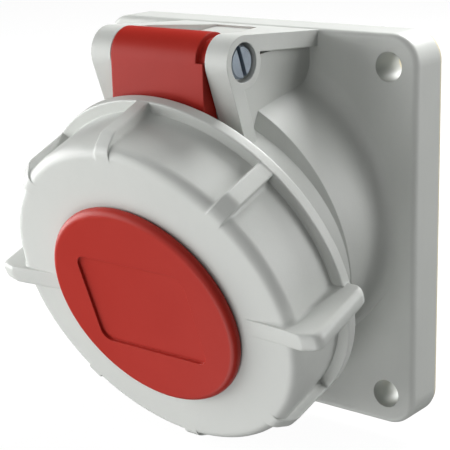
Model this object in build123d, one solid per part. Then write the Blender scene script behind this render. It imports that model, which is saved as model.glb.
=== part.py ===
from build123d import *
import os
from math import cos, sin, radians

# Millimetres. X to the right seen from the front, Y into the panel, Z up.
# The origin is the centre of the panel face, on the rear of the flange gasket.

# Flange
flange_margin = 11.7
flange_thickness = 10.8
flange_corner_radius = 7.5
flange_edge_radius = 1.5
flange_wall = 3.2
fixing_inset = 8.0
fixing_hole_diameter = 7.3
fixing_boss_diameter = 13.5
gasket_thickness = 1.0
gasket_inset = 0.3
gasket_width = 6.5

# Direction of the socket
tilt = 20.0
axis_height = 1.8
ring_standoff = 24.7

# Neck and collar
neck_front_inset = 2.1
neck_taper = 4.8
neck_foot_reach = 6.5
neck_length = 26.0
neck_cove_radius = 5.5
neck_shoulder_start = 11.5
neck_shoulder_end = 16.5
neck_shoulder_rise = 4.2
collar_bore_radius = 34.5
collar_wall = 3.8
collar_mouth = 12.8
collar_lip_radius = 0.8
ramp_height = 1.9
ramp_rear = 4.4
ramp_front = 8.0
ramp_lead = 0.2
ramp_sweep = 34.0
ramp_start_angle = 14.0
stop_sweep = 3.0
stop_rear = 0.8

# Bayonet ring
ring_bore_clearance = 0.7
ring_band_wall = 1.75
rim_height = 3.02
rim_thickness = 3.0
rim_edge_radius = 0.4
band_taper = 0.25
shoulder_radius = 3.0
ring_inner_rounding = 1.0
ring_face_edge = 20.3
ring_face_centre = 21.0
ring_wall = 3.1
hub_clearance = 0.35
rib_count = 8
rib_width = 4.3
rib_bend_inset = 0.67
rib_bend_position = 16.2
rib_foot_inset = 0.3
rib_bend_rounding = 1.6
wing_overhang = 4.83
wing_thickness = 4.8
wing_rear = 0.9
wing_front = 20.9
wing_tip_radius = 2.2
wing_ridge_radius = 30.5
wing_ridge_height = 2.4
lug_clearance = 0.5
lug_rear = 0.8
lug_front = 3.9
lug_sweep = 16.0

# Lid
lid_plate_inset = 0.3
lid_plate_rear = 13.8
lid_plate_front = 16.7
hub_radius = 26.4
cap_radius = 28.35
cap_rear = 21.35
cap_front = 23.75
cap_edge_radius = 1.8
cap_spigot_radius = 22.0
cap_spigot_depth = 3.2
label_width = 34.3
label_height = 26.2
label_depth = 0.8
label_corner_radius = 3.0
lid_bowl_inset = 3.2
lid_bowl_depth = 1.2
tongue_gap = 1.5
tongue_thickness = 1.8
tongue_sweep = 35.0
seal_edge = 0.4
seal_width = 3.4
seal_gap = 0.1
seal_bed_depth = 1.0

# Hinge
hinge_rise = 4.43
hinge_setback = 11.5
barrel_radius = 6.6
barrel_left = 14.5
barrel_right = 14.4
barrel_notch_start = 12.3
barrel_notch_radius = 5.2
arm_thickness = 4.5
arm_front_gap = 0.8
arm_root_inset = 3.5
ear_inner = 14.9
ear_outer = 21.4
boss_radius = 6.4
boss_bore_radius = 4.75
ear_rim_width = 4.1
ear_web_outer = 19.0
ear_arm_drop = 2.2
pin_radius = 2.0
pin_clearance = 0.08
pin_head_radius = 3.95
pin_head_thickness = 2.1
pin_head_recess = 0.6
pin_slot_width = 1.3
pin_slot_depth = 1.1
pin_slot_angle = 20.0
pin_chamfer = 0.4
clip_radius = 4.2
clip_thickness = 0.8
clip_groove = 0.35
spring_wire = 0.9
spring_coil_radius = 3.2
spring_turns = 3.0
spring_pitch = 1.25
spring_room_radius = 4.3
spring_room_length = 8.0
bridge_clearance = 0.9
trough_back_half = 6.5
trough_back_gap = 5.0
trough_rib_width = 1.2

# Contact carrier
plug_room = 7.0
carrier_front = 7.8
carrier_well_floor = 30.0
carrier_base_thickness = 5.2
carrier_base_clearance = 0.15
carrier_seat_wall = 2.0
carrier_tail_inset = 7.3
carrier_tail_length = 25.0
carrier_edge_radius = 0.8
partition_thickness = 2.0
partition_core_radius = 9.0
contact_circle_radius = 17.6
contact_count = 5
sleeve_radius = 4.0
sleeve_bore_radius = 3.05
sleeve_depth = 3.2
sleeve_bore_depth = 30.0
sleeve_slot = 0.8
sleeve_slot_length = 16.0
earth_sleeve_radius = 5.0
earth_bore_radius = 4.05
sleeve_clearance = 0.1
mouth_radius = 3.5
earth_mouth_radius = 4.5
mouth_flare = 0.8
keyway_width = 8.0
keyway_depth = 1.7
keyway_edge_radius = 1.0
terminal_width = 9.6
terminal_length = 17.0
wire_hole_radius = 2.6
wire_hole_depth = 15.2
terminal_screw_radius = 2.4
terminal_screw_length = 4.6
terminal_screw_spacing = 8.0
terminal_slot_width = 0.9
terminal_slot_depth = 1.2
spring_ring_width = 2.4
spring_ring_thickness = 0.45
spring_ring_position = 9.0
seal_cord_radius = 0.8
carrier_screw_count = 2
carrier_screw_offset = 2.6
carrier_screw_radius = 1.3
carrier_screw_head_radius = 3.6
carrier_screw_head_height = 1.8
carrier_screw_length = 9.8
carrier_boss_radius = 3.0
carrier_boss_length = 9.0
insert_screw_radius = 2.0
insert_screw_head_radius = 3.8
insert_screw_head_height = 2.6
insert_screw_length = 22.0
insert_thread_depth = 9.0
cap_screw_count = 3
cap_screw_circle = 15.0
cap_screw_radius = 1.3
cap_screw_head_radius = 2.8
cap_screw_head_height = 1.6
cap_screw_length = 6.4
small_clearance = 0.1
cut_margin = 5.0

# Derived sizes, planes and positions
collar_radius = collar_bore_radius + collar_wall
ramp_radius = collar_radius + ramp_height
flange_side = (collar_radius + flange_margin) * 2
neck_front_radius = collar_radius - neck_front_inset
neck_foot_radius = neck_front_radius + neck_taper
neck_base_radius = neck_foot_radius + neck_foot_reach
lid_plate_radius = collar_radius - lid_plate_inset
seal_outer_radius = lid_plate_radius - seal_edge
seal_inner_radius = seal_outer_radius - seal_width
lid_bowl_radius = seal_inner_radius - lid_bowl_inset
tongue_inner_radius = lid_plate_radius + tongue_gap
tongue_outer_radius = tongue_inner_radius + tongue_thickness
ring_bore_radius = tongue_outer_radius + ring_bore_clearance
band_rear_radius = ring_bore_radius + ring_band_wall
band_front_radius = band_rear_radius - band_taper
ring_radius = band_rear_radius + rim_height
rib_bend_radius = ring_radius - rib_bend_inset
rib_foot_radius = band_front_radius - rib_foot_inset
lug_radius = collar_radius + lug_clearance
hinge_height = ring_radius + hinge_rise
carrier_radius = collar_bore_radius - plug_room
carrier_seat_radius = collar_radius - carrier_seat_wall
carrier_tail_radius = carrier_seat_radius - carrier_tail_inset
carrier_screw_circle = carrier_seat_radius + carrier_screw_offset
keyway_reach = collar_bore_radius + keyway_depth
flange_front = gasket_thickness + flange_thickness
slope_cos = cos(radians(tilt))
slope_sin = sin(radians(tilt))
ring_centre_y = -flange_front - ring_standoff * slope_cos
ring_centre_z = axis_height - ring_standoff * slope_sin
hinge_y = ring_centre_y - hinge_height * slope_sin + hinge_setback * slope_cos
hinge_z = ring_centre_z + hinge_height * slope_cos + hinge_setback * slope_sin
fixing_spacing = flange_side - fixing_inset * 2
wing_reach = ring_radius + wing_overhang
arm_root_height = tongue_inner_radius - arm_root_inset
half_turn = 180
full_turn = 360
quarter_turn = 90

# Local frame of the tilted parts: Z runs forward out of the ring, Y up its face
ring_plane = Plane(
    origin=(0, ring_centre_y, ring_centre_z),
    x_dir=(1, 0, 0),
    z_dir=(0, -slope_cos, -slope_sin),
)


def on_ring(shape):
    """Puts a shape built about its own Z axis on the tilted axis."""
    return ring_plane * shape


def to_world(height, forward):
    """World Y and Z of a point of the ring plane's upright section."""
    y = ring_centre_y - height * slope_sin - forward * slope_cos
    z = ring_centre_z + height * slope_cos - forward * slope_sin
    return y, z


def outline(points):
    """Closed face from plain corner points."""
    return make_face(Polyline(*points, close=True))


def soft_outline(corners):
    """Closed face from corners given as (across, up, rounding)."""
    points = [(corner[0], corner[1]) for corner in corners]
    roundings = [corner[2] for corner in corners]
    return make_face(FilletPolyline(*points, radius=roundings, close=True))


def turned(corners):
    """Solid of revolution about Z from (radius, height, rounding) corners."""
    return revolve(Plane.XZ * soft_outline(corners), Axis.Z)


def tube(outer, inner, low, high):
    """Plain ring about Z between two heights."""
    wall = Circle(outer) - Circle(inner)
    return Pos(0, 0, low) * extrude(wall, high - low)


def rod(radius, low, high):
    """Plain cylinder about Z between two heights."""
    return Pos(0, 0, low) * extrude(Circle(radius), high - low)


def sector(outer, inner, low, high, start, sweep):
    """Part of a ring about Z between two angles."""
    far = outer * 2
    steps = 4
    fan = [(0, 0)]
    for step in range(steps + 1):
        turn = radians(start + sweep * step / steps)
        fan.append((far * cos(turn), far * sin(turn)))
    wedge = Pos(0, 0, low) * extrude(outline(fan), high - low)
    return tube(outer, inner, low, high) & wedge


def side_plate(corners, low_x, high_x):
    """Plate across X from corners given in world Y and Z with roundings."""
    face = Plane.YZ * soft_outline(corners)
    return Pos(low_x, 0, 0) * extrude(face, high_x - low_x)


def cross_rod(radius, low_x, high_x):
    """Cylinder along X on the hinge line."""
    stem = Plane.YZ * extrude(Circle(radius), high_x - low_x)
    return Pos(low_x, hinge_y, hinge_z) * stem


def front_slab(depth, side, corner, low_y):
    """Square slab in front of a plane parallel to the panel."""
    face = Plane.XZ * RectangleRounded(side, side, corner)
    return Pos(0, low_y, 0) * extrude(face, depth)


def fixing_points():
    """Centres of the four fixing holes as X and Z."""
    reach = fixing_spacing / 2
    return [(x, z) for x in (-reach, reach) for z in (-reach, reach)]


def panel_rod(radius, x, z, front, depth):
    """Cylinder along Y from a front plane towards the panel."""
    stem = Plane.XZ * extrude(Circle(radius), -depth)
    return Pos(x, front, z) * stem


# Flange, neck and collar

def flange_slab():
    """Square flange with a rounded front edge."""
    slab = front_slab(flange_thickness, flange_side, flange_corner_radius, -gasket_thickness)
    front_edges = slab.faces().sort_by(Axis.Y)[0].edges()
    return fillet(front_edges, flange_edge_radius)


def flange_hollow():
    """Space behind the flange, with bosses left round the fixing holes."""
    depth = flange_thickness - flange_wall
    inner_side = flange_side - flange_wall * 2
    space = front_slab(depth, inner_side, flange_corner_radius - flange_wall, -gasket_thickness)
    for x, z in fixing_points():
        space -= panel_rod(fixing_boss_diameter / 2, x, z, -flange_front, flange_front)
    return space


def neck():
    """Flared neck on the flange, cut off by a slope round the collar."""
    corners = [
        (0, -flange_wall / 2, 0),
        (neck_base_radius, -flange_wall / 2, 0),
        (neck_base_radius, 0, 0),
        (neck_foot_radius, 0, neck_cove_radius),
        (neck_front_radius, neck_length, 0),
        (0, neck_length, 0),
    ]
    cone = revolve(Plane.XY * soft_outline(corners), Axis.Y)
    cone = Pos(0, -flange_front, axis_height / 2) * mirror(cone, Plane.XZ)
    far = flange_side
    rise = neck_shoulder_rise * (far / (neck_shoulder_end - neck_shoulder_start))
    limit = turned([
        (0, -neck_shoulder_start, 0),
        (collar_radius, -neck_shoulder_start, 0),
        (collar_radius + rise, -neck_shoulder_start - far, 0),
        (0, -neck_shoulder_start - far, 0),
    ])
    return cone & on_ring(limit)


def collar_shell():
    """Tilted collar from the rear of the carrier's seat to the mouth."""
    return on_ring(turned([
        (0, base_rear(), 0),
        (collar_radius, base_rear(), 0),
        (collar_radius, collar_mouth, collar_lip_radius),
        (0, collar_mouth, 0),
    ]))


def ramps():
    """Two bayonet ramps, each with a stop at its far end."""
    made = []
    for turn in (0, half_turn):
        start = -ramp_start_angle - ramp_sweep
        ramp = sector(ramp_radius, collar_bore_radius, ramp_rear, ramp_front, start, ramp_sweep)
        lead = sector(ramp_radius, collar_bore_radius, ramp_rear - ramp_lead, ramp_front,
                      start, ramp_sweep / 2)
        stop = sector(ramp_radius, collar_bore_radius, stop_rear, ramp_front,
                      start - stop_sweep, stop_sweep)
        made.append(on_ring(Rot(0, 0, turn) * (ramp + lead + stop)))
    return made


def ear_plate(side):
    """One hinge ear: boss, front strip, top arm and recessed web."""
    inner = ear_inner if side > 0 else -ear_outer
    outer = ear_outer if side > 0 else -ear_inner
    web_inner = ear_inner if side > 0 else -ear_web_outer
    web_outer = ear_web_outer if side > 0 else -ear_inner
    strip_low_y, strip_low_z = to_world(arm_root_height / 2, -hinge_setback + boss_radius)
    strip_back_y, strip_back_z = to_world(arm_root_height / 2, -hinge_setback + boss_radius - ear_rim_width)
    front_y, front_z = to_world(hinge_height, -hinge_setback + boss_radius)
    inside_y, inside_z = to_world(hinge_height, -hinge_setback + boss_radius - ear_rim_width)
    top_z = hinge_z + boss_radius
    foot_y = -flange_front + flange_edge_radius
    strip = side_plate([
        (front_y, front_z, 0),
        (strip_low_y, strip_low_z, 0),
        (strip_back_y, strip_back_z, 0),
        (inside_y, inside_z, 0),
    ], inner, outer)
    arm = side_plate([
        (hinge_y, top_z, 0),
        (hinge_y, top_z - ear_rim_width, 0),
        (foot_y, top_z - ear_arm_drop - ear_rim_width, 0),
        (foot_y, top_z - ear_arm_drop, 0),
    ], inner, outer)
    web = side_plate([
        (hinge_y, hinge_z, 0),
        (strip_back_y, strip_back_z, 0),
        (foot_y, 0, 0),
        (foot_y, top_z - ear_arm_drop - ear_rim_width / 2, 0),
    ], web_inner, web_outer)
    return strip + arm + web + cross_rod(boss_radius, inner, outer)


def ear_bores():
    """Counterbores for the pin head and clip, and the pin holes."""
    head_room = pin_head_recess + pin_head_thickness
    right = cross_rod(boss_bore_radius, ear_outer - head_room, ear_outer + cut_margin)
    left = cross_rod(boss_bore_radius, -ear_outer - cut_margin, -ear_outer + head_room)
    hole = cross_rod(pin_radius, -ear_outer, ear_outer)
    return right + left + hole


def hinge_bridge():
    """Solid back of the hinge between the ears, with its sloping top."""
    top_z = hinge_z + boss_radius
    foot_y = -flange_front + flange_edge_radius
    block = side_plate([
        (hinge_y, top_z, 0),
        (hinge_y, hinge_z, 0),
        (hinge_y + boss_radius, axis_height + collar_bore_radius, 0),
        (foot_y, axis_height, 0),
        (foot_y, top_z - ear_arm_drop, 0),
    ], -ear_inner, ear_inner)
    return block


def hinge_trough():
    """Room for the barrel and the opening arm, wide in front, narrow behind."""
    swing = barrel_radius + bridge_clearance
    round_room = cross_rod(swing, -ear_inner, ear_inner)
    back_y = -flange_front - trough_back_gap
    floor_z = hinge_z
    high_z = hinge_z + flange_side
    plan = outline([
        (-ear_inner, hinge_y - flange_side),
        (ear_inner, hinge_y - flange_side),
        (ear_inner, hinge_y + swing),
        (trough_back_half, back_y),
        (-trough_back_half, back_y),
        (-ear_inner, hinge_y + swing),
    ])
    well = Pos(0, 0, floor_z) * extrude(plan, high_z - floor_z)
    slope = side_plate([
        (hinge_y - flange_side, floor_z, 0),
        (hinge_y, floor_z, 0),
        (back_y, hinge_z + boss_radius - ear_arm_drop, 0),
        (back_y, high_z, 0),
        (hinge_y - flange_side, high_z, 0),
    ], -ear_inner, ear_inner)
    drop_y, drop_z = to_world(arm_root_height, -hinge_setback - barrel_radius / 2)
    front_room = side_plate([
        (hinge_y, hinge_z, 0),
        (hinge_y + swing, hinge_z, 0),
        (drop_y, drop_z, 0),
        (drop_y - flange_side, drop_z, 0),
        (hinge_y - flange_side, hinge_z, 0),
    ], -ear_inner, ear_inner)
    return round_room + (well & slope) + front_room


def trough_ribs():
    """Two thin ribs that stand in the trough behind the barrel."""
    swing = barrel_radius + bridge_clearance
    made = []
    for place in (-trough_back_half - trough_back_gap, 0):
        rib = side_plate([
            (hinge_y + swing, hinge_z, 0),
            (hinge_y + swing, hinge_z + boss_radius / 2, 0),
            (-flange_front - trough_back_gap / 2, hinge_z + boss_radius - ear_arm_drop - trough_rib_width, 0),
            (-flange_front - trough_back_gap / 2, hinge_z - boss_radius, 0),
        ], place - trough_rib_width / 2, place + trough_rib_width / 2)
        made.append(rib)
    return made


def carrier_room():
    """Stepped bore for the plug and for the seat of the carrier's base."""
    depth = carrier_well_floor + collar_mouth
    room = rod(collar_bore_radius, -carrier_well_floor, collar_mouth + cut_margin)
    keyway = Box(keyway_width, keyway_reach, depth)
    keyway = fillet(keyway.edges().filter_by(Axis.Z), keyway_edge_radius)
    room += Pos(0, -keyway_reach / 2, collar_mouth - depth / 2) * keyway
    room += rod(carrier_seat_radius, -flange_side, -carrier_well_floor)
    stem_front = base_rear() + carrier_screw_length - carrier_screw_head_height
    for spot in carrier_screw_places():
        room += spot * rod(carrier_screw_radius, base_rear(), stem_front)
    return on_ring(room)


def carrier_bosses():
    """Bosses beside the seat for the screws that hold the carrier."""
    boss = rod(carrier_boss_radius, base_rear(), base_rear() + carrier_boss_length)
    return [on_ring(spot * boss) for spot in carrier_screw_places()]


def flange_housing():
    """Grey moulding of flange, neck, collar and hinge ears."""
    body = flange_slab() - flange_hollow()
    body += neck()
    body += ear_plate(1) + ear_plate(-1) + hinge_bridge()
    body -= hinge_trough()
    for rib in trough_ribs():
        body += rib
    body += collar_shell()
    for piece in ramps() + carrier_bosses():
        body += piece
    body -= carrier_room()
    body -= ear_bores()
    for x, z in fixing_points():
        body -= panel_rod(fixing_hole_diameter / 2, x, z, -flange_front, flange_front)
    return body


def flange_gasket():
    """Sealing frame between flange and panel."""
    side = flange_side - gasket_inset * 2
    frame = front_slab(gasket_thickness, side, flange_corner_radius - gasket_inset, 0)
    window = front_slab(gasket_thickness, side - gasket_width * 2, flange_corner_radius, 0)
    for x, z in fixing_points():
        window -= panel_rod(fixing_boss_diameter / 2, x, z, -gasket_thickness, gasket_thickness)
    frame -= window
    for x, z in fixing_points():
        frame -= panel_rod(fixing_hole_diameter / 2, x, z, -gasket_thickness, gasket_thickness)
    return frame


# Bayonet ring

def ring_shell():
    """Ring without ribs: rim, band, shoulder, dished front face."""
    return turned([
        (ring_bore_radius, 0, 0),
        (ring_radius, 0, rim_edge_radius),
        (ring_radius, rim_thickness, rim_edge_radius),
        (band_rear_radius, rim_thickness, 0),
        (band_front_radius, ring_face_edge, shoulder_radius),
        (hub_radius + hub_clearance, ring_face_centre, rim_edge_radius),
        (hub_radius + hub_clearance, ring_face_edge - ring_wall, 0),
        (ring_bore_radius, ring_face_edge - ring_wall, ring_inner_rounding),
    ])


def ring_rib():
    """Rib along the band that bends over the shoulder."""
    profile = Plane.XZ * soft_outline([
        (ring_bore_radius + rim_edge_radius, rim_thickness / 2, 0),
        (ring_radius - rim_edge_radius / 4, rim_thickness / 2, 0),
        (rib_bend_radius, rib_bend_position, rib_bend_rounding),
        (rib_foot_radius, ring_face_edge, rib_bend_rounding),
        (ring_bore_radius - shoulder_radius, ring_face_edge, 0),
        (ring_bore_radius - shoulder_radius, ring_face_edge - rim_edge_radius, 0),
        (ring_bore_radius + rim_edge_radius, ring_face_edge - ring_wall * 3 / 4, 0),
    ])
    rib = extrude(profile, rib_width / 2, both=True)
    return rib


def ring_wing():
    """Grip wing across the rim, with a ridge that fades out at the cap."""
    front_y = wing_front + wing_ridge_height
    profile = Plane.XZ * soft_outline([
        (ring_bore_radius + rim_edge_radius, wing_rear, 0),
        (wing_reach, wing_rear, wing_tip_radius),
        (wing_reach, wing_front, wing_tip_radius),
        (ring_radius, front_y - wing_ridge_height / 2, wing_tip_radius),
        (wing_ridge_radius, ring_face_centre, 0),
        (wing_ridge_radius, ring_face_edge - rim_edge_radius, 0),
        (ring_bore_radius + rim_edge_radius, ring_face_edge - ring_wall * 3 / 4, 0),
    ])
    wing = extrude(profile, wing_thickness / 2, both=True)
    return wing


def ring_lug():
    """Inner lug that goes behind a ramp of the collar."""
    half = lug_sweep / 2
    return sector(ring_bore_radius + rim_edge_radius, lug_radius, lug_rear, lug_front, -half, lug_sweep)


def bayonet_ring():
    """Grey turning ring of the lid."""
    ring = ring_shell()
    step = full_turn / rib_count
    for place in range(rib_count):
        turn = Rot(0, 0, place * step)
        if place % (rib_count // 2) == 0:
            ring += turn * ring_wing()
            ring += turn * ring_lug()
        else:
            ring += turn * ring_rib()
    bore = rod(hub_radius + hub_clearance, 0, ring_face_centre + wing_front)
    return on_ring(ring - bore)


# Lid

def cap_screw_places():
    """Turns that put a screw on its place round the cap's axis."""
    step = full_turn / cap_screw_count
    return [Rot(0, 0, quarter_turn + place * step) * Pos(cap_screw_circle, 0, 0)
            for place in range(cap_screw_count)]


def lid_disc():
    """Round plate of the lid with its hub."""
    plate = turned([
        (0, lid_plate_rear, 0),
        (lid_plate_radius, lid_plate_rear, rim_edge_radius),
        (lid_plate_radius, lid_plate_front, rim_edge_radius),
        (hub_radius, lid_plate_front, 0),
        (hub_radius, cap_rear, 0),
        (0, cap_rear, 0),
    ])
    plate -= rod(cap_spigot_radius + small_clearance, cap_rear - cap_spigot_depth, cap_rear)
    plate -= rod(lid_bowl_radius, lid_plate_rear, lid_plate_rear + lid_bowl_depth)
    plate -= tube(seal_outer_radius, seal_inner_radius, lid_plate_rear, lid_plate_rear + seal_bed_depth)
    head_top = lid_plate_rear + lid_bowl_depth + cap_screw_head_height
    for place in cap_screw_places():
        plate -= place * rod(cap_screw_head_radius + small_clearance, lid_plate_rear, head_top)
        plate -= place * rod(cap_screw_radius, head_top, cap_rear)
    return plate


def lid_tongue():
    """Curved tongue from the lid plate back past the ring's rim."""
    start = quarter_turn - tongue_sweep / 2
    back = -arm_front_gap - arm_thickness
    shell = sector(tongue_outer_radius, tongue_inner_radius, back, lid_plate_front, start, tongue_sweep)
    link = sector(tongue_outer_radius, seal_outer_radius + small_clearance,
                  lid_plate_rear, lid_plate_front, start, tongue_sweep)
    return on_ring(shell + link)


def lid_arm():
    """Arm and barrel of the hinge, upright in front when closed."""
    front_y = hinge_y - barrel_radius
    back_y = front_y + arm_thickness
    low_y, low_z = to_world(arm_root_height, -arm_front_gap)
    rear_y, rear_z = to_world(arm_root_height, -arm_front_gap - arm_thickness)
    reach = (low_y - front_y) / slope_sin
    meet_z = low_z + reach * slope_cos
    rear_reach = (rear_y - back_y) / slope_sin
    rear_meet_z = rear_z + rear_reach * slope_cos
    corners = [
        (front_y, hinge_z, 0),
        (front_y, meet_z, 0),
        (low_y, low_z, 0),
        (rear_y, rear_z, 0),
        (back_y, rear_meet_z, 0),
        (back_y, hinge_z, 0),
    ]
    return side_plate(corners, -barrel_left, barrel_right)


def barrel_notch():
    """Cut at the barrel's right end, above the arm."""
    length = barrel_right - barrel_notch_start
    ring = cross_rod(barrel_radius + small_clearance, barrel_notch_start, barrel_notch_start + length)
    ring -= cross_rod(barrel_notch_radius, barrel_notch_start, barrel_notch_start + length)
    upper = side_plate([
        (hinge_y - flange_side, hinge_z, 0),
        (hinge_y, hinge_z, 0),
        (hinge_y, hinge_z - boss_radius * 2, 0),
        (hinge_y + flange_side, hinge_z - boss_radius * 2, 0),
        (hinge_y + flange_side, hinge_z + flange_side, 0),
        (hinge_y - flange_side, hinge_z + flange_side, 0),
    ], barrel_notch_start, barrel_right)
    return ring & upper


def lid():
    """Red hinged lid."""
    clear_core = on_ring(rod(tongue_inner_radius, -flange_side, lid_plate_rear))
    arm = (lid_arm() - clear_core) + cross_rod(barrel_radius, -barrel_left, barrel_right)
    body = on_ring(lid_disc()) + lid_tongue() + arm
    body -= barrel_notch()
    body -= cross_rod(pin_radius + pin_clearance, -barrel_left, barrel_right)
    body -= cross_rod(spring_room_radius, barrel_right - spring_room_length, barrel_right)
    return body


def lid_gasket():
    """Soft seal ring in its bed on the lid plate."""
    face = collar_mouth + seal_gap
    return on_ring(tube(seal_outer_radius, seal_inner_radius, face, lid_plate_rear + seal_bed_depth))


def lid_cap():
    """Front plate with rounded edge, label recess and rear spigot."""
    cap = turned([
        (0, cap_rear, 0),
        (cap_radius, cap_rear, rim_edge_radius),
        (cap_radius, cap_front, cap_edge_radius),
        (0, cap_front, 0),
    ])
    cap += rod(cap_spigot_radius, cap_rear - cap_spigot_depth, cap_rear)
    label = RectangleRounded(label_width, label_height, label_corner_radius)
    cap -= Pos(0, 0, cap_front - label_depth) * extrude(label, label_depth * 2)
    screw_top = lid_plate_rear + lid_bowl_depth + cap_screw_length
    for place in cap_screw_places():
        cap -= place * rod(cap_screw_radius, cap_rear - cap_spigot_depth, screw_top)
    return on_ring(cap)


def cross_head_screw(head_radius, head_height, stem_radius, length):
    """Pan-head screw along Z, head at the bottom, with a cross recess."""
    screw = turned([
        (0, 0, 0),
        (head_radius, 0, head_height / 2),
        (head_radius, head_height, 0),
        (stem_radius, head_height, 0),
        (stem_radius, length, stem_radius / 2),
        (0, length, 0),
    ])
    arm = head_radius * 2 / 3
    for turn in (0, quarter_turn):
        screw -= Rot(0, 0, turn) * Box(arm * 2, arm / 2, head_height)
    return screw


def cap_screws():
    """Screws that pull the cap onto the hub."""
    made = []
    screw = cross_head_screw(cap_screw_head_radius, cap_screw_head_height,
                             cap_screw_radius, cap_screw_length)
    for place in cap_screw_places():
        made.append(on_ring(place * Pos(0, 0, lid_plate_rear + lid_bowl_depth) * screw))
    return made


# Hinge pin, clip and spring

def hinge_pin():
    """Pin with a slotted head in the right ear."""
    head_face = ear_outer - pin_head_recess
    head_foot = head_face - pin_head_thickness
    pin = cross_rod(pin_radius, -ear_outer + pin_head_recess, head_foot)
    head = cross_rod(pin_head_radius, head_foot, head_face)
    head = chamfer(head.edges().filter_by(GeomType.CIRCLE).sort_by(Axis.X)[-1], pin_chamfer)
    slot = Box(pin_slot_depth * 2, pin_slot_width, pin_head_radius * 3)
    slot = Rot(pin_slot_angle, 0, 0) * slot
    pin += head
    pin -= Pos(head_face, hinge_y, hinge_z) * slot
    groove_start = -ear_outer + pin_head_recess + pin_head_thickness - clip_thickness
    groove = cross_rod(pin_radius, groove_start, groove_start + clip_thickness)
    groove -= cross_rod(pin_radius - clip_groove, groove_start, groove_start + clip_thickness)
    return pin - groove


def pin_clip():
    """Slotted retaining ring in the pin's groove."""
    start = -ear_outer + pin_head_recess + pin_head_thickness - clip_thickness
    clip = cross_rod(clip_radius, start, start + clip_thickness)
    clip -= cross_rod(pin_radius - clip_groove, start, start + clip_thickness)
    mouth = Box(clip_thickness * 4, pin_radius * 3 / 2, clip_radius * 2)
    return clip - Pos(start, hinge_y, hinge_z - clip_radius) * mouth


def hinge_spring():
    """Torsion spring round the pin, inside the barrel's room."""
    height = spring_pitch * spring_turns
    path = Helix(spring_pitch, height, spring_coil_radius)
    section = Plane(origin=path @ 0, z_dir=path % 0) * Circle(spring_wire / 2)
    coil = sweep(section, path=path)
    start = barrel_right - spring_room_length + spring_wire
    return Pos(start, hinge_y, hinge_z) * (Plane.YZ * coil)


# Contact carrier and contacts

def contact_angles():
    """Angles of the contacts, earth first at the bottom."""
    step = full_turn / contact_count
    return [-quarter_turn + place * step for place in range(contact_count)]


def contact_sizes(place):
    """Sleeve, bore and mouth radius of one contact."""
    if place == 0:
        return earth_sleeve_radius, earth_bore_radius, earth_mouth_radius
    return sleeve_radius, sleeve_bore_radius, mouth_radius


def contact_place(place):
    """Location of one contact, its X axis pointing outwards."""
    return Rot(0, 0, contact_angles()[place]) * Pos(contact_circle_radius, 0, 0)


def base_rear():
    """Rear face of the carrier's base, flush with the end of the collar."""
    return -carrier_well_floor - carrier_base_thickness


def contact_room(place):
    """Flared mouth and chamber of one contact."""
    sleeve, bore, mouth = contact_sizes(place)
    inner = carrier_front - sleeve_depth
    room = turned([
        (0, inner, 0),
        (mouth, inner, 0),
        (mouth + mouth_flare, carrier_front, 0),
        (0, carrier_front, 0),
    ])
    room += rod(sleeve + spring_ring_thickness + sleeve_clearance * 2, base_rear(), inner)
    return contact_place(place) * room


def contact_insert():
    """Insulating body in the well, with the contact mouths in its front."""
    body = turned([
        (0, -carrier_well_floor, 0),
        (carrier_radius, -carrier_well_floor, 0),
        (carrier_radius, carrier_front, carrier_edge_radius),
        (0, carrier_front, 0),
    ])
    for place in range(contact_count):
        body -= contact_room(place)
    body -= rod(insert_screw_radius, -carrier_well_floor, insert_thread_depth - carrier_well_floor)
    return on_ring(body)


def terminal_base():
    """Floor of the well, with the terminal chambers behind it."""
    rear = base_rear()
    tail_rear = rear - carrier_tail_length
    disc_radius = carrier_seat_radius - carrier_base_clearance
    body = turned([
        (0, tail_rear, 0),
        (carrier_tail_radius, tail_rear, carrier_edge_radius),
        (carrier_tail_radius, rear, 0),
        (disc_radius, rear, 0),
        (disc_radius, -carrier_well_floor, 0),
        (0, -carrier_well_floor, 0),
    ])
    chambers = tube(carrier_tail_radius + cut_margin, partition_core_radius, tail_rear, rear)
    step = full_turn / contact_count
    for place in range(contact_count):
        wall = Box(carrier_tail_radius * 2, partition_thickness, carrier_tail_length * 3)
        wall = Pos(carrier_tail_radius, 0, tail_rear) * wall
        chambers -= Rot(0, 0, contact_angles()[place] + step / 2) * wall
    body -= chambers
    for place in range(contact_count):
        body -= contact_room(place)
    body -= carrier_seal_ring(seal_cord_radius + sleeve_clearance)
    body -= rod(insert_screw_radius + small_clearance, tail_rear, -carrier_well_floor)
    body -= rod(insert_screw_head_radius + small_clearance, tail_rear, insert_screw_seat())
    return on_ring(body)


def insert_screw_seat():
    """Plane in the core that the head of the middle screw sits on."""
    return insert_thread_depth - carrier_well_floor - insert_screw_length + insert_screw_head_height


def insert_screw():
    """Middle screw that holds the insert on the base."""
    screw = cross_head_screw(insert_screw_head_radius, insert_screw_head_height,
                             insert_screw_radius, insert_screw_length)
    return on_ring(Pos(0, 0, insert_screw_seat() - insert_screw_head_height) * screw)


def carrier_seal_ring(cord):
    """O-ring in the edge of the carrier's base."""
    across = carrier_seat_radius - seal_cord_radius - small_clearance / 2
    section = Plane.XZ * (Pos(across, -carrier_well_floor - carrier_base_thickness / 2) * Circle(cord))
    return revolve(section, Axis.Z)


def carrier_seal():
    """Seal between the carrier's base and its seat."""
    return on_ring(carrier_seal_ring(seal_cord_radius))


def carrier_screw_places():
    """Places of the carrier's screws, left and right."""
    step = full_turn / carrier_screw_count
    return [Rot(0, 0, place * step) * Pos(carrier_screw_circle, 0, 0) for place in range(carrier_screw_count)]


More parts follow.
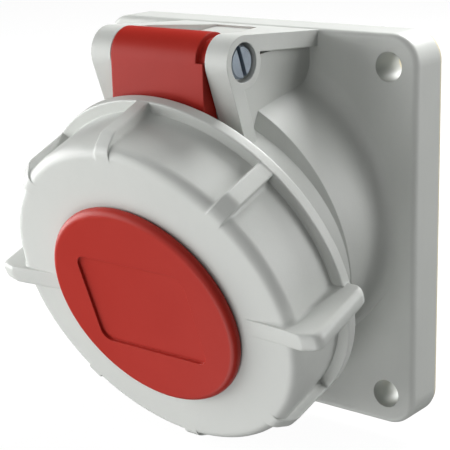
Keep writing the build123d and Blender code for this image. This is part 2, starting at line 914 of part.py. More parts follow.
def sleeve_contact(place):
    """Slotted contact sleeve with its terminal block behind."""
    sleeve, bore, mouth = contact_sizes(place)
    front = carrier_front - sleeve_depth - sleeve_clearance
    rear = base_rear()
    block_rear = rear - terminal_length
    body = rod(sleeve, rear, front)
    block = Box(terminal_width, terminal_width, terminal_length)
    block = fillet(block.edges().filter_by(Axis.Z), sleeve_slot)
    body += Pos(0, 0, rear - terminal_length / 2) * block
    body -= rod(bore, front - sleeve_bore_depth, front)
    body -= rod(wire_hole_radius, block_rear, block_rear + wire_hole_depth)
    slot = Box(sleeve * 3, sleeve_slot, sleeve_slot_length)
    for turn in (0, quarter_turn):
        body -= Rot(0, 0, turn) * Pos(0, 0, front - sleeve_slot_length / 2) * slot
    groove = tube(sleeve * 2, sleeve - spring_ring_thickness,
                  front - spring_ring_position - spring_ring_width, front - spring_ring_position)
    body -= groove
    for spot in terminal_screw_spots():
        body -= spot * rod(terminal_screw_radius, 0, terminal_width)
    return on_ring(contact_place(place) * body)


def terminal_screw_spots():
    """Screw axes of one terminal, in the contact's own place."""
    rear = base_rear()
    middle = rear - terminal_length / 2
    offset = terminal_screw_spacing / 2
    return [Pos(0, 0, level) * Rot(0, quarter_turn, 0) for level in (middle - offset, middle + offset)]


def terminal_screws():
    """Clamp screws of all terminals."""
    made = []
    for place in range(contact_count):
        for spot in terminal_screw_spots():
            low = wire_hole_radius + small_clearance
            high = low + terminal_screw_length
            screw = rod(terminal_screw_radius, low, high)
            slot = Box(terminal_screw_radius * 3, terminal_slot_width, terminal_slot_depth * 2)
            screw -= Pos(0, 0, high) * slot
            made.append(on_ring(contact_place(place) * spot * screw))
    return made


def sleeve_spring(place):
    """Open spring ring round one sleeve."""
    sleeve, bore, mouth = contact_sizes(place)
    front = carrier_front - sleeve_depth - sleeve_clearance
    high = front - spring_ring_position
    ring = tube(sleeve, sleeve - spring_ring_thickness, high - spring_ring_width, high)
    gap = Box(sleeve * 2, sleeve_slot, spring_ring_width * 2)
    ring -= Pos(sleeve, 0, high - spring_ring_width / 2) * gap
    return on_ring(contact_place(place) * ring)


def carrier_screws():
    """Screws that clamp the carrier against its seat."""
    made = []
    rear = base_rear()
    for spot in carrier_screw_places():
        screw = cross_head_screw(carrier_screw_head_radius, carrier_screw_head_height,
                                 carrier_screw_radius, carrier_screw_length)
        made.append(on_ring(spot * Pos(0, 0, rear - carrier_screw_head_height) * screw))
    return made


def save(name, shape):
    """Writes one node, a solid or a group of solids."""
    if isinstance(shape, list):
        solids = [solid for piece in shape for solid in piece.solids()]
        shape = Compound(children=solids)
    export_step(shape, "parts/" + name + ".step")


os.makedirs("parts", exist_ok=True)
save("flange_housing", flange_housing())
save("flange_gasket", flange_gasket())
save("contact_insert", contact_insert())
save("terminal_base", terminal_base())
save("insert_screw", insert_screw())
save("carrier_seal", carrier_seal())
save("carrier_screws", carrier_screws())
save("earth_contact", sleeve_contact(0))
save("neutral_contact", sleeve_contact(1))
save("line_1_contact", sleeve_contact(2))
save("line_2_contact", sleeve_contact(3))
save("line_3_contact", sleeve_contact(4))
save("sleeve_springs", [sleeve_spring(place) for place in range(1, contact_count)])
save("earth_sleeve_spring", sleeve_spring(0))
save("terminal_screws", terminal_screws())
save("lid", lid())
save("lid_gasket", lid_gasket())
save("lid_cap", lid_cap())
save("cap_screws", cap_screws())
save("bayonet_ring", bayonet_ring())
save("hinge_pin", hinge_pin())
save("pin_clip", pin_clip())
save("hinge_spring", hinge_spring())
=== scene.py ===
import math

import bmesh
import bpy
from mathutils import Matrix, Vector


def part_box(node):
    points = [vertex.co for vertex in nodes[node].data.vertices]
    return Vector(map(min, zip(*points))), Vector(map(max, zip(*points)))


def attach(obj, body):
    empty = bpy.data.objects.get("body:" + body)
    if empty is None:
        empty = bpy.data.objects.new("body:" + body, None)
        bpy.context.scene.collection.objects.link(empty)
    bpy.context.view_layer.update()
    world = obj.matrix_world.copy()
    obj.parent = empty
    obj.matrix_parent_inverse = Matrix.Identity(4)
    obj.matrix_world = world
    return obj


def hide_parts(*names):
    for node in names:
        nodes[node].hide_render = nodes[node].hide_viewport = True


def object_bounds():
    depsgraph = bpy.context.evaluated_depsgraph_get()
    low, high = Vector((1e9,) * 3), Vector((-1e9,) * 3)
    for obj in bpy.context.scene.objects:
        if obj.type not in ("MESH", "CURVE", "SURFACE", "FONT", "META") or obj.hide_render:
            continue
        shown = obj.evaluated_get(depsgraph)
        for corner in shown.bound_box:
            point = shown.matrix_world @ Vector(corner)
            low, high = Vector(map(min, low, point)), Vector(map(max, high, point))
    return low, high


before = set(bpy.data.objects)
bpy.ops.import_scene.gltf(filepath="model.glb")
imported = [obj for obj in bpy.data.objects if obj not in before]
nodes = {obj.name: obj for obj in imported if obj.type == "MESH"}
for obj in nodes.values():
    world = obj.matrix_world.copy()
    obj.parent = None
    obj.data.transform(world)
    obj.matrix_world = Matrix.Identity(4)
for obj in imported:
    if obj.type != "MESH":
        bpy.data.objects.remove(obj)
cad_low, cad_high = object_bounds()

MM = 0.001

# Camera, at the photograph's viewing angle: degrees, pixels and millimetres
PICTURE_SIDE = 450
AZIMUTH = 38.76
ELEVATION = 15.25
ROLL = -1.41
FOCAL_LENGTH = 1351.73
AIM_ACROSS = 252.32
AIM_DOWN = 211.93
DISTANCE = 360.32
FLANGE_FRONT = 11.8
SENSOR = 36.0

# Light: direction from the object, distance and width in metres, radiance on a white surface that faces it
SOFTBOXES = {
    "key_front_left": ((-0.62, -0.78, 0.10), 0.75, 0.55, 0.60),
    "table_bounce": ((-0.15, -0.55, -0.82), 0.75, 0.55, 0.43),
    "left_wall": ((-0.95, -0.25, 0.05), 0.75, 0.50, 0.86),
    "top_rear": ((0.03, 0.67, 0.74), 0.75, 0.42, 1.70),
    "top_front": ((-0.10, -0.45, 0.90), 0.70, 0.50, 0.12),
    "right_rear": ((0.92, 0.35, 0.12), 0.75, 0.35, 0.34),
    "right_high": ((0.80, 0.45, 0.40), 0.75, 0.35, 0.20),
    "front_fill": ((0.35, -0.93, 0.05), 0.90, 0.60, 0.16),
}
AMBIENT = 0.03

# Floor and surround: metres, but the floor's drop below the object and the paper's fibre in millimetres
STUDIO_RADIUS = 3.0
CAMERA_CLIP = (0.01, 12.0)
FLOOR_DROP = 0.5
FLOOR_SEGMENTS = 64
SURROUND_SEGMENTS = 48
SURROUND_BANDS = 24
PAPER_GLOW = 1.05
PAPER_WHITE = (0.9, 0.9, 0.9, 1.0)
PAPER_FIBRE = 900.0
FIBRE_SHARE = 0.02
GLOW_SHARE = 0.9
WHITE = (1.0, 1.0, 1.0, 1.0)

# Tilted axis of the collar, and the middle of the ring's rear face
TILT = math.radians(20.0)
RING_CENTRE = (0.0, -35.0104, -6.6479)

# Bayonet ring in millimetres: across from its axis, along it towards the front
RIM_RADIUS = 46.77
RIM_DEPTH = 3.0
BAND_RADIUS = 43.75
BAND_TAPER = 0.25
FACE_EDGE = 20.3
FACE_CENTRE = 21.0
HUB_BORE = 26.75
RING_BORE = 42.0
INNER_FACE = 17.2
RIDGE_START = 30.5
EDGE_ROUND = 0.4
SHOULDER_ROUND = 3.0
INNER_ROUND = 1.0

# Ribs and wings fade out on the face: distance of the foot from the rim, and the last short step
FOOT_INSET = 7.5
FADE_STEP = 0.1

RIB_RADIUS = 46.1
RIB_BEND = 16.2
RIB_BEND_ROUND = 3.6
RIB_TOP_INSET = 0.7
RIB_TOP_RISE = 0.15
RIB_TOP_ROUND = 3.2
RIB_HEEL = 0.15
RIB_HEEL_DROP = 0.2
RIB_HEEL_RISE = 0.05

WING_REACH = 51.6
WING_REAR = 0.9
WING_FRONT = 20.9
WING_CREST = 1.2
WING_FOOT_RISE = 1.0
WING_ROUND = 2.2

# Across a rib and a wing: half width, edge, the edge's share of the height, root, the root's share
RIB_SECTION = (2.15, 0.5, 0.16, 1.1, 0.3)
WING_SECTION = (2.4, 1.7, 0.2, 1.1, 0.14)
EDGE_COLUMNS = 4
ROOT_COLUMNS = 3
OPEN_COLUMNS = 8

# Lugs inside the ring: inner and outer reach, low and high end
LUG = (38.8, 42.4, 0.8, 3.9)
LUG_SWEEP = math.radians(16.0)
LUG_STEPS = 8

SECTORS = 8
WING_EVERY = 4
WELD_GAP = 0.01
CREASE = math.radians(32.0)

# Surface detail in millimetres, and the stretch of flow marks along the axes
CLOUD = 14.0
FLOW = 3.0
FLOW_STRETCH = (1.0, 1.0, 0.35)
SPECK_RATIO = 2.7
DRAWN_LINE = 0.25
DRAWN_DEPTH = 0.02
STAIN = 2.5
TURNING = 0.22
TURNED_DEPTH = 0.03
FILM = 1.8
PIT_GAIN = 1.6
PORE_CLOUD = 9
EDGE_ROUNDING = 0.45
RUBBER_ROUNDING = 0.225
METAL_ROUNDING = 0.15
ZINC_ROUNDING = 0.225
EDGE_GAIN = 4.0
BEVEL_SAMPLES = 6
PLASTIC_IOR = 1.49
RUBBER_IOR = 1.45
FULL_SHEEN = 0.5

# Sockets with repeated names, by number
MIX_FACTOR = 0
MIX_VECTORS = (4, 5)
MIX_COLOURS = (6, 7)
MIXED_VECTOR = 1
MIXED_COLOUR = 2
COMPARE_WHOLE = (2, 3)


class Shade:
    """A socket of a node tree. Arithmetic on it adds Math nodes."""

    def __init__(self, tree, socket=None):
        self.tree = tree
        self.socket = socket

    def node(self, kind, settings=None, values=None, output=0):
        """Adds a node: its settings first, then the value, link or list of links of each socket."""
        made = self.tree.nodes.new(kind)
        for name, value in (settings or {}).items():
            setattr(made, name, value)
        for name, value in (values or {}).items():
            for part in value if isinstance(value, list) else [value]:
                if isinstance(part, Shade):
                    self.tree.links.new(part.socket, made.inputs[name])
                else:
                    made.inputs[name].default_value = part
        return Shade(self.tree, made.outputs[output] if made.outputs else None)

    def output(self, place):
        """Another output of the same node."""
        return Shade(self.tree, self.socket.node.outputs[place])

    def maths(self, operation, first, second=0.0, limited=False):
        """Math node on two values, kept between 0 and 1 if limited."""
        settings = {"operation": operation, "use_clamp": limited}
        return self.node("ShaderNodeMath", settings, {0: first, 1: second})

    def single(self, operation):
        """Math node on this value alone."""
        return self.maths(operation, self)

    def limited(self):
        """This value, kept between 0 and 1."""
        return self.maths("ADD", self, 0.0, True)

    def __add__(self, other):
        return self.maths("ADD", self, other)

    def __sub__(self, other):
        return self.maths("SUBTRACT", self, other)

    def __rsub__(self, other):
        return self.maths("SUBTRACT", other, self)

    def __mul__(self, other):
        return self.maths("MULTIPLY", self, other)

    def __truediv__(self, other):
        return self.maths("DIVIDE", self, other)

    def __rtruediv__(self, other):
        return self.maths("DIVIDE", other, self)

    __radd__ = __add__
    __rmul__ = __mul__

    def noise(self, place, size, detail=2.0, roughness=0.5):
        """Noise whose features are about size millimetres across."""
        values = {"Vector": place, "Scale": 1 / (size * MM), "Detail": detail, "Roughness": roughness}
        return self.node("ShaderNodeTexNoise", None, values)

    def stretched(self, place, scale):
        """Coordinates scaled along the axes."""
        return self.node("ShaderNodeMapping", None, {"Vector": place, "Scale": scale})

    def blend(self, factor, first, second):
        """Colour between two colours."""
        values = {MIX_FACTOR: factor, MIX_COLOURS[0]: first, MIX_COLOURS[1]: second}
        return self.node("ShaderNodeMix", {"data_type": "RGBA"}, values, MIXED_COLOUR)

    def facing(self, first, second):
        """Dot product of two directions."""
        return self.node("ShaderNodeVectorMath", {"operation": "DOT_PRODUCT"}, {0: first, 1: second}, "Value")

    def relief(self, height, soft, strength, depth):
        """Normal of a fine relief, depth millimetres deep, on the soft normal."""
        return self.node("ShaderNodeBump", None, {
            "Strength": strength, "Distance": depth * MM, "Height": height, "Normal": soft})


def linear(red, green, blue):
    """Scene colour from a display colour in 0 to 255, by the sRGB curve."""
    def channel(value):
        share = value / 255
        return share / 12.92 if share <= 0.04045 else ((share + 0.055) / 1.055) ** 2.4
    return (channel(red), channel(green), channel(blue), 1.0)


def start_finish(name):
    """A new material with an empty tree, and the object coordinates in it."""
    material = bpy.data.materials.new(name)
    material.use_nodes = True
    material.node_tree.nodes.clear()
    shade = Shade(material.node_tree)
    place = shade.node("ShaderNodeTexCoord", output="Object")
    return material, shade, place


def end_finish(material, shade, surface):
    """Joins the surface to the material's output."""
    shade.node("ShaderNodeOutputMaterial", None, {"Surface": surface})
    return material


def rounded_normal(shade, radius):
    """Normal that runs softly over an edge."""
    return shade.node("ShaderNodeBevel", {"samples": BEVEL_SAMPLES}, {"Radius": radius * MM})


def edge_here(shade, soft):
    """How much of an edge a point is, from 0 to 1."""
    plain = shade.node("ShaderNodeNewGeometry", output="Normal")
    return ((1 - shade.facing(soft, plain)) * EDGE_GAIN).limited()


def moulded(name, light, deep, worn, grain, depth, gloss, sheen=FULL_SHEEN, rounding=EDGE_ROUNDING):
    """Satin moulded plastic: spark grain, faint clouding, edges rubbed a little smoother."""
    material, shade, place = start_finish(name)
    clouds = shade.noise(place, CLOUD, detail=3.0)
    flow = shade.noise(shade.stretched(place, FLOW_STRETCH), FLOW)
    fine = shade.noise(place, grain, roughness=0.6)
    specks = shade.noise(place, grain * SPECK_RATIO, detail=1.0)
    soft = rounded_normal(shade, rounding)
    edge = edge_here(shade, soft)
    tone = (clouds * 0.5 + flow * 0.25 + fine * 0.25).limited()
    base = shade.blend(tone, deep, light)
    base = shade.blend(edge * 0.5, base, worn)
    roughness = gloss + (fine - 0.5) * 0.10 + (clouds - 0.5) * 0.08 - edge * 0.05
    surface = shade.node("ShaderNodeBsdfPrincipled", None, {
        "Base Color": base, "Roughness": roughness, "IOR": PLASTIC_IOR, "Specular IOR Level": sheen,
        "Normal": shade.relief(fine * 0.65 + specks * 0.35, soft, strength=0.5, depth=depth)})
    return end_finish(material, shade, surface)


def rubber(name, light, deep, pore, depth):
    """Cellular rubber or foam: fine pores and a dry surface."""
    material, shade, place = start_finish(name)
    cells = shade.node("ShaderNodeTexVoronoi", {"feature": "F1"}, {"Vector": place, "Scale": 1 / (pore * MM)})
    clouds = shade.noise(place, pore * PORE_CLOUD, detail=3.0)
    pits = (cells * PIT_GAIN).limited()
    soft = rounded_normal(shade, RUBBER_ROUNDING)
    base = shade.blend((pits * 0.6 + clouds * 0.4).limited(), deep, light)
    surface = shade.node("ShaderNodeBsdfPrincipled", None, {
        "Base Color": base, "Roughness": 0.78 + clouds * 0.15, "IOR": RUBBER_IOR,
        "Normal": shade.relief(pits, soft, strength=0.6, depth=depth)})
    return end_finish(material, shade, surface)


def drawn_metal(name, light, deep, along, gloss):
    """Drawn or rolled metal: fine lines along one direction and faint stains."""
    material, shade, place = start_finish(name)
    lines = shade.noise(shade.stretched(place, along), DRAWN_LINE, detail=3.0, roughness=0.7)
    stains = shade.noise(place, STAIN, detail=3.0)
    soft = rounded_normal(shade, METAL_ROUNDING)
    edge = edge_here(shade, soft)
    base = shade.blend((lines * 0.55 + stains * 0.45).limited(), deep, light)
    base = shade.blend(edge * 0.6, base, light)
    surface = shade.node("ShaderNodeBsdfPrincipled", None, {
        "Base Color": base, "Metallic": 1.0, "Roughness": gloss + lines * 0.15 + stains * 0.08,
        "Normal": shade.relief(lines, soft, strength=0.4, depth=DRAWN_DEPTH)})
    return end_finish(material, shade, surface)


def turned_zinc(name, light, deep, centre):
    """Zinc-plated head with turning rings round its centre and a dull film."""
    material, shade, place = start_finish(name)
    centred = shade.node("ShaderNodeMapping", None, {
        "Vector": place, "Location": tuple(-value for value in centre)})
    across = shade.node("ShaderNodeSeparateXYZ", None, {"Vector": centred}, "Y")
    up = across.output("Z")
    reach = (across * across + up * up).single("SQRT")
    rings = shade.node("ShaderNodeTexNoise", {"noise_dimensions": "1D"}, {
        "W": reach, "Scale": 1 / (TURNING * MM), "Detail": 2.0})
    film = shade.noise(place, FILM, detail=3.0)
    soft = rounded_normal(shade, ZINC_ROUNDING)
    edge = edge_here(shade, soft)
    base = shade.blend((rings * 0.5 + film * 0.5).limited(), deep, light)
    surface = shade.node("ShaderNodeBsdfPrincipled", None, {
        "Base Color": base, "Metallic": 0.85, "Roughness": 0.34 + film * 0.2 - edge * 0.08,
        "Normal": shade.relief(rings, soft, strength=0.5, depth=TURNED_DEPTH)})
    return end_finish(material, shade, surface)


def box_centre(name):
    """Middle of a node's box."""
    low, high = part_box(name)
    return (low + high) / 2


def make_finishes():
    """One finish for each material slot of the record: light, deep and worn tone, then sizes and gloss."""
    return {
        "housing_grey": moulded(
            "housing_grey", linear(211, 213, 209), linear(199, 202, 198), linear(222, 224, 220),
            grain=0.45, depth=0.05, gloss=0.46, rounding=0.25),
        "ring_grey": moulded(
            "ring_grey", linear(213, 215, 211), linear(202, 205, 201), linear(224, 226, 222),
            grain=0.45, depth=0.05, gloss=0.44),
        "lid_red": moulded(
            "lid_red", linear(176, 47, 37), linear(163, 37, 28), linear(190, 66, 55),
            grain=0.45, depth=0.04, gloss=0.42, sheen=0.16),
        "cap_red": moulded(
            "cap_red", linear(180, 52, 42), linear(168, 42, 33), linear(196, 74, 63),
            grain=0.45, depth=0.04, gloss=0.40, sheen=0.22, rounding=0.18),
        "carrier_grey": moulded(
            "carrier_grey", linear(92, 95, 97), linear(78, 81, 83), linear(112, 115, 117),
            grain=0.4, depth=0.04, gloss=0.5),
        "gasket_cream": rubber(
            "gasket_cream", linear(236, 228, 200), linear(214, 203, 170), pore=0.35, depth=0.08),
        "seal_black": rubber(
            "seal_black", linear(48, 48, 50), linear(30, 30, 32), pore=0.3, depth=0.03),
        "brass": drawn_metal(
            "brass", linear(214, 184, 112), linear(178, 142, 76), along=(1.0, 0.06, 1.0), gloss=0.24),
        "screw_steel": drawn_metal(
            "screw_steel", linear(190, 192, 196), linear(140, 143, 148), along=(1.0, 0.2, 1.0), gloss=0.3),
        "spring_steel": drawn_metal(
            "spring_steel", linear(170, 172, 178), linear(110, 112, 118), along=(0.3, 1.0, 1.0), gloss=0.26),
        "pin_zinc": turned_zinc(
            "pin_zinc", linear(176, 186, 196), linear(120, 130, 142), box_centre("hinge_pin")),
    }


def rounded_path(corners):
    """Points along a path of (across, along, rounding, steps of the rounding, steps of the leg before it)."""
    points = []
    for place, (across, along, rounding, turns, legs) in enumerate(corners):
        here = Vector((across, along))
        bend = [here]
        if rounding:
            before = (Vector(corners[place - 1][:2]) - here).normalized()
            after = (Vector(corners[place + 1][:2]) - here).normalized()
            half = before.angle(after) / 2
            centre = here + (before + after).normalized() * (rounding / math.sin(half))
            first = here + before * (rounding / math.tan(half)) - centre
            last = here + after * (rounding / math.tan(half)) - centre
            sweep = first.angle(last)
            bend = [centre + (first * math.sin(sweep * (turns - step) / turns)
                              + last * math.sin(sweep * step / turns)) / math.sin(sweep)
                    for step in range(turns + 1)]
        points += [points[-1].lerp(bend[0], step / legs) for step in range(1, legs)]
        points += bend
    return points


def face_height(reach):
    """Height of the ring's front face, which rises a little towards the hub."""
    return FACE_EDGE + (FACE_CENTRE - FACE_EDGE) * (BAND_RADIUS - reach) / (BAND_RADIUS - HUB_BORE)


def ring_outlines():
    """The ring's closed outline between ribs, on a rib and on a wing, point by point alike."""
    foot = RIM_RADIUS - FOOT_INSET
    start = (RIM_RADIUS, WING_REAR, 0, 0, 1)
    rest = [
        (RIDGE_START + FADE_STEP, face_height(RIDGE_START), 0, 0, 4),
        (RIDGE_START, face_height(RIDGE_START), 0, 0, 1),
        (HUB_BORE, FACE_CENTRE, EDGE_ROUND, 3, 3),
        (HUB_BORE, INNER_FACE, 0, 0, 1),
        (RING_BORE, INNER_FACE, INNER_ROUND, 4, 4),
        (RING_BORE, 0.0, 0, 0, 3),
        (RIM_RADIUS, 0.0, EDGE_ROUND, 3, 1),
        (RIM_RADIUS, WING_REAR, 0, 0, 1),
    ]
    plain = rounded_path([
        start,
        (RIM_RADIUS, RIM_DEPTH, EDGE_ROUND, 4, 1),
        (BAND_RADIUS, RIM_DEPTH, 0, 0, 1),
        (BAND_RADIUS - BAND_TAPER, FACE_EDGE, SHOULDER_ROUND, 8, 6),
        (foot, face_height(foot), 0, 0, 2),
    ] + rest)
    rib = rounded_path([
        start,
        (RIM_RADIUS, RIM_DEPTH - RIB_HEEL_DROP, RIB_HEEL, 4, 1),
        (RIM_RADIUS - RIB_HEEL, RIM_DEPTH + RIB_HEEL_RISE, 0, 0, 1),
        (RIB_RADIUS, RIB_BEND, RIB_BEND_ROUND, 4, 6),
        (BAND_RADIUS - RIB_TOP_INSET, FACE_EDGE + RIB_TOP_RISE, RIB_TOP_ROUND, 3, 1),
        (foot, face_height(foot), 0, 0, 2),
    ] + rest)
    wing = rounded_path([
        start,
        (WING_REACH, WING_REAR, WING_ROUND, 5, 2),
        (WING_REACH, WING_FRONT, WING_ROUND, 5, 3),
        (RIM_RADIUS, WING_FRONT + WING_CREST, WING_ROUND, 2, 1),
        (foot, face_height(foot) + WING_FOOT_RISE, 0, 0, 4),
    ] + rest)
    return plain, rib, wing


def raised_section(half_width, edge, edge_share, root, root_share):
    """Columns across a raised form: offset, share of its height, share of the open stretch beside it."""
    half = [(0.0, 1.0, 0.0), (half_width - edge, 1.0, 0.0)]
    for step in range(1, EDGE_COLUMNS + 1):
        turn = math.pi / 2 * step / EDGE_COLUMNS
        half.append((half_width - edge + edge * math.sin(turn), 1 - edge_share * (1 - math.cos(turn)), 0.0))
    for step in range(ROOT_COLUMNS + 1):
        turn = math.pi / 2 * step / ROOT_COLUMNS
        half.append((half_width + root * (1 - math.cos(turn)), root_share * (1 - math.sin(turn)), 0.0))
    half += [(half_width + root, 0.0, step / OPEN_COLUMNS) for step in range(1, OPEN_COLUMNS + 1)]
    return [(-offset, height, stretch) for offset, height, stretch in reversed(half[1:])] + half


def form_sheet(name, lists):
    """Mesh of loose points that carries each list as a named vector."""
    count = max(len(values) for values in lists.values())
    sheet = bpy.data.meshes.new(name)
    sheet.from_pydata([(0.0, 0.0, 0.0)] * count, [], [])
    for label, values in lists.items():
        carried = sheet.attributes.new(label, "FLOAT_VECTOR", "POINT")
        for place, value in enumerate(values):
            carried.data[place].vector = Vector(value).to_3d()
    return sheet


def new_tree(name, inputs):
    """Geometry tree with named inputs and one geometry output, and each of its inputs by name."""
    tree = bpy.data.node_groups.new(name, "GeometryNodeTree")
    for label, kind in inputs:
        tree.interface.new_socket(label, in_out="INPUT", socket_type=kind)
    tree.interface.new_socket("Geometry", in_out="OUTPUT", socket_type="NodeSocketGeometry")
    enter = Shade(tree).node("NodeGroupInput").socket.node
    return tree, {socket.name: Shade(tree, socket) for socket in enter.outputs if socket.name}


def end_tree(shade, geometry, finish):
    """Realized instances in one finish, as the tree's result."""
    real = shade.node("GeometryNodeRealizeInstances", None, {"Geometry": geometry})
    painted = shade.node("GeometryNodeSetMaterial", None, {"Geometry": real, "Material": finish})
    shade.node("NodeGroupOutput", None, {"Geometry": painted})


def keep_result(piece, modifier):
    """Replaces an object's mesh with what its modifier makes of it, and removes the modifier."""
    depsgraph = bpy.context.evaluated_depsgraph_get()
    result = bpy.data.meshes.new_from_object(piece.evaluated_get(depsgraph), depsgraph=depsgraph)
    piece.modifiers.remove(modifier)
    piece.data = result


def grown(name, sheet, tree, inputs):
    """Runs a tree on a sheet and keeps the result as a plain mesh object at the origin."""
    piece = bpy.data.objects.new(name, sheet)
    bpy.context.scene.collection.objects.link(piece)
    form = piece.modifiers.new("form", "NODES")
    form.node_group = tree
    for item in tree.interface.items_tree:
        if item.in_out == "INPUT" and item.name in inputs:
            form[item.identifier] = inputs[item.name]
    keep_result(piece, form)
    return piece


def carried_at(sheet, label, index):
    """The sheet's named vector at a point's number."""
    named = sheet.node("GeometryNodeInputNamedAttribute", {"data_type": "FLOAT_VECTOR"}, {"Name": label})
    settings = {"data_type": "FLOAT_VECTOR", "domain": "POINT"}
    values = {"Geometry": sheet, "Value": named, "Index": index.single("ROUND")}
    return sheet.node("GeometryNodeSampleIndex", settings, values)


def raised_sector(sheet, sector, form, columns, rows):
    """One sector of the ring: a grid laid between the plain outline and the raised one."""
    grid = sheet.node("GeometryNodeMeshGrid", None, {
        "Size X": 1.0, "Size Y": 1.0, "Vertices X": columns, "Vertices Y": rows})
    place = sheet.node("ShaderNodeSeparateXYZ", None, {
        "Vector": sheet.node("GeometryNodeInputPosition")})
    column = (place + 0.5) * (columns - 1)
    row = (place.output("Y") + 0.5) * (rows - 1)

    offset = sheet.node("ShaderNodeSeparateXYZ", None, {
        "Vector": carried_at(sheet, form + "_section", column)})
    height, stretch = offset.output("Y"), offset.output("Z")
    outline = sheet.node("ShaderNodeMix", {"data_type": "VECTOR"}, {
        MIX_FACTOR: height, MIX_VECTORS[0]: carried_at(sheet, "plain", row),
        MIX_VECTORS[1]: carried_at(sheet, form, row)}, MIXED_VECTOR)
    reach = sheet.node("ShaderNodeSeparateXYZ", None, {"Vector": outline})
    along = reach.output("Y")

    beside = (offset / reach).single("ARCSINE")
    edge = offset.single("SIGN") * (sector * 0.5)
    turn = beside + stretch * (edge - beside)
    spot = sheet.node("ShaderNodeCombineXYZ", None, {
        "X": reach * turn.single("COSINE"), "Y": reach * turn.single("SINE"), "Z": along})
    return sheet.node("GeometryNodeSetPosition", None, {"Geometry": grid, "Position": spot})


def arc_block(mesh, sizes, start, sweep, steps):
    """Block bent round the axis: inner and outer reach, low and high end."""
    inner, outer, low, high = sizes
    loops = []
    for step in range(steps + 1):
        turn = start + sweep * step / steps
        loops.append([mesh.verts.new((reach * math.cos(turn), reach * math.sin(turn), level))
                      for reach, level in ((inner, low), (outer, low), (outer, high), (inner, high))])
    for first, second in zip(loops, loops[1:]):
        for side in range(4):
            mesh.faces.new((first[side], first[(side + 1) % 4], second[(side + 1) % 4], second[side]))
    mesh.faces.new(loops[0])
    mesh.faces.new(reversed(loops[-1]))


def ring_place():
    """From the ring's own frame in millimetres to the shared frame in metres."""
    turn = Matrix(((1.0, 0.0, 0.0), (0.0, -math.sin(TILT), math.cos(TILT)),
                   (0.0, -math.cos(TILT), -math.sin(TILT)))).transposed().to_4x4()
    return Matrix.Scale(MM, 4) @ Matrix.Translation(RING_CENTRE) @ turn


def finish_form(piece, place, crease):
    """Bakes the place of a form into its mesh, with soft faces and kept creases."""
    piece.data.transform(place)
    piece.data.shade_smooth()
    piece.data.set_sharp_from_angle(angle=crease)
    weighted = piece.modifiers.new("weighted", "WEIGHTED_NORMAL")
    weighted.keep_sharp = True
    keep_result(piece, weighted)


def bayonet_ring(finish):
    """Turning ring: one sector with a rib and one with a wing, set round the axis, and two lugs inside."""
    plain, rib, wing = ring_outlines()
    rib_section, wing_section = raised_section(*RIB_SECTION), raised_section(*WING_SECTION)
    sheet = form_sheet("ring_sheet", {
        "plain": plain, "rib": rib, "wing": wing,
        "rib_section": rib_section, "wing_section": wing_section})
    tree, inputs = new_tree("ribbed_ring", [
        ("Geometry", "NodeSocketGeometry"), ("Sector", "NodeSocketFloat"),
        ("Count", "NodeSocketInt"), ("Wing every", "NodeSocketInt"), ("Finish", "NodeSocketMaterial")])
    shade = inputs["Geometry"]
    points = shade.node("GeometryNodePoints", None, {"Count": inputs["Count"]})
    index = shade.node("GeometryNodeInputIndex")
    winged = shade.node("FunctionNodeCompare", {"data_type": "INT", "operation": "EQUAL"}, {
        COMPARE_WHOLE[0]: index.maths("MODULO", index, inputs["Wing every"]), COMPARE_WHOLE[1]: 0})
    ribbed = shade.node("FunctionNodeBooleanMath", {"operation": "NOT"}, {0: winged})
    turn = shade.node("ShaderNodeCombineXYZ", None, {"Z": index * inputs["Sector"]})
    sectors = []
    for form, chosen in (("wing", winged), ("rib", ribbed)):
        sector = raised_sector(shade, inputs["Sector"], form, len(rib_section), len(plain))
        sectors.append(shade.node("GeometryNodeInstanceOnPoints", None, {
            "Points": points, "Selection": chosen, "Instance": sector, "Rotation": turn}))
    ring = shade.node("GeometryNodeJoinGeometry", None, {"Geometry": sectors})
    end_tree(shade, ring, inputs["Finish"])
    piece = grown("bayonet_ring_formed", sheet, tree, {
        "Sector": 2 * math.pi / SECTORS, "Count": SECTORS, "Wing every": WING_EVERY, "Finish": finish})
    mesh = bmesh.new()
    mesh.from_mesh(piece.data)
    bmesh.ops.remove_doubles(mesh, verts=mesh.verts, dist=WELD_GAP)
    for side in (0.0, math.pi):
        arc_block(mesh, LUG, side - LUG_SWEEP / 2, LUG_SWEEP, LUG_STEPS)
    bmesh.ops.recalc_face_normals(mesh, faces=mesh.faces)
    mesh.to_mesh(piece.data)
    mesh.free()
    finish_form(piece, ring_place(), CREASE)
    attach(piece, "ring")
    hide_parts("bayonet_ring")


def dress_nodes(finishes):
    """Gives every CAD node the finish of its slot."""
    for node in nodes.values():
        for slot in node.material_slots:
            name = slot.material.name.split(".")[0] if slot.material else ""
            if name in finishes:
                slot.material = finishes[name]
            else:
                print("no finish for", node.name, name)


def softbox(name, direction, distance, width, strength):
    """Square area light aimed at the object, set by the light it gives a white surface."""
    light = bpy.data.lights.new(name, "AREA")
    light.shape = "SQUARE"
    light.size = width
    light.energy = strength * math.pi ** 2 * distance ** 2
    box = bpy.data.objects.new(name, light)
    bpy.context.scene.collection.objects.link(box)
    away = Vector(direction).normalized()
    box.rotation_mode = "QUATERNION"
    box.location = away * distance
    box.rotation_quaternion = away.to_track_quat("Z", "Y")


def paper_finish():
    """White paper that glows a little, so the floor stays pale."""
    material, shade, place = start_finish("studio_paper")
    fibre = shade.noise(place, PAPER_FIBRE)
    paper = shade.node("ShaderNodeBsdfDiffuse", None, {"Color": PAPER_WHITE})
    glow = shade.node("ShaderNodeEmission", None, {"Color": WHITE, "Strength": PAPER_GLOW})
    surface = shade.node("ShaderNodeMixShader", None, {
        0: fibre * FIBRE_SHARE + GLOW_SHARE, 1: paper, 2: glow})
    return end_finish(material, shade, surface)


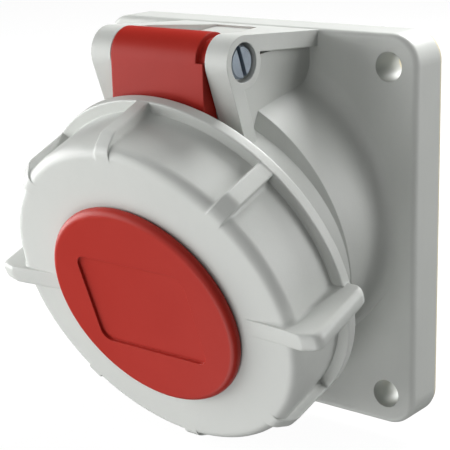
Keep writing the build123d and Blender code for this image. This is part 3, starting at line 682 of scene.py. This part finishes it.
def backdrop(name, add_form, **settings):
    """Object of one basic form, as wide as the studio."""
    mesh = bmesh.new()
    add_form(mesh, radius=STUDIO_RADIUS, **settings)
    data = bpy.data.meshes.new(name)
    mesh.to_mesh(data)
    mesh.free()
    return bpy.data.objects.new(name, data)


def studio():
    """Plain pale floor, a white surround, and soft light."""
    floor = backdrop("floor", bmesh.ops.create_circle, cap_ends=True, segments=FLOOR_SEGMENTS)
    floor.data.transform(Matrix.Translation((0.0, 0.0, cad_low.z - FLOOR_DROP * MM)))
    surround = backdrop("surround", bmesh.ops.create_uvsphere,
                        u_segments=SURROUND_SEGMENTS, v_segments=SURROUND_BANDS)
    paper = paper_finish()
    for piece in (floor, surround):
        piece.data.materials.append(paper)
        bpy.context.scene.collection.objects.link(piece)
        piece.visible_diffuse = False
        piece.visible_glossy = False
        piece.visible_transmission = False
        piece.visible_shadow = False
    for name, (direction, distance, width, strength) in SOFTBOXES.items():
        softbox(name, direction, distance, width, strength)
    world = bpy.data.worlds.new("studio")
    world.use_nodes = True
    background = world.node_tree.nodes["Background"]
    background.inputs["Color"].default_value = WHITE
    background.inputs["Strength"].default_value = AMBIENT
    bpy.context.scene.world = world
    bpy.context.scene.view_settings.view_transform = "Standard"


def photo_camera():
    """Camera with the photograph's direction, distance and frame."""
    azimuth, elevation, roll = (math.radians(angle) for angle in (AZIMUTH, ELEVATION, ROLL))
    back = Vector((math.sin(azimuth) * math.cos(elevation),
                   -math.cos(azimuth) * math.cos(elevation),
                   math.sin(elevation)))
    level = Vector((math.cos(azimuth), math.sin(azimuth), 0.0))
    upright = back.cross(level)
    right = level * math.cos(roll) + upright * math.sin(roll)
    up = upright * math.cos(roll) - level * math.sin(roll)
    half = PICTURE_SIDE / 2
    shift_across = (AIM_ACROSS - half) * DISTANCE / FOCAL_LENGTH
    shift_up = (half - AIM_DOWN) * DISTANCE / FOCAL_LENGTH
    place = back * DISTANCE - right * shift_across - up * shift_up
    place.y -= FLANGE_FRONT
    lens = bpy.data.cameras.new("photo_camera")
    lens.sensor_width = SENSOR
    lens.lens = FOCAL_LENGTH * SENSOR / PICTURE_SIDE
    lens.clip_start, lens.clip_end = CAMERA_CLIP
    camera = bpy.data.objects.new("photo_camera", lens)
    turn = Matrix((right, up, back)).transposed().to_4x4()
    camera.matrix_world = Matrix.Translation(place * MM) @ turn
    bpy.context.scene.collection.objects.link(camera)
    bpy.context.scene.camera = camera


finishes = make_finishes()
dress_nodes(finishes)
bayonet_ring(finishes["ring_grey"])
studio()
photo_camera()
